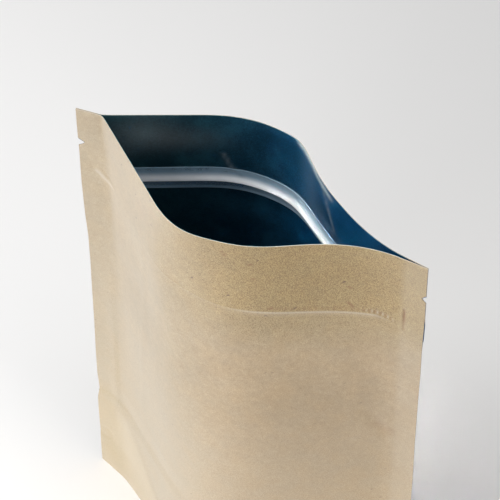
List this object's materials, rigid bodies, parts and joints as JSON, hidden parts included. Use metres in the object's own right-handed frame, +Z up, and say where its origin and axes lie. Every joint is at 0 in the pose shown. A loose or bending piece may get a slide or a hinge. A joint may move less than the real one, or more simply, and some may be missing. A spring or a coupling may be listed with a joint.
{
  "type": "kraft stand-up pouch",
  "caption": "Empty kraft paper stand-up pouch with a dark film lining, its mouth held open above a press-to-close zip, standing on a folded bottom gusset.",
  "frame": {"origin": "middle of the base, on the surface that the pouch stands on", "axes": "+Z up from the base to the mouth, +X along the pouch's width from the left side seal to the right one seen from the front, +Y from the front panel to the back panel"},
  "size_m": [0.146, 0.0646, 0.23],
  "materials": {
    "kraft_paper": "matte uncoated kraft paper face of a laminate, pale brown with fine fibres",
    "inner_film": "dark blue lining film with a soft satin gloss",
    "zip_plastic": "milky translucent polyethylene"
  },
  "bodies": {
    "root": {"front_panel": "kraft_paper", "back_panel": "kraft_paper", "bottom_gusset": "inner_film", "zip_track_front": "zip_plastic", "zip_track_back": "zip_plastic"}
  },
  "joints": []
}
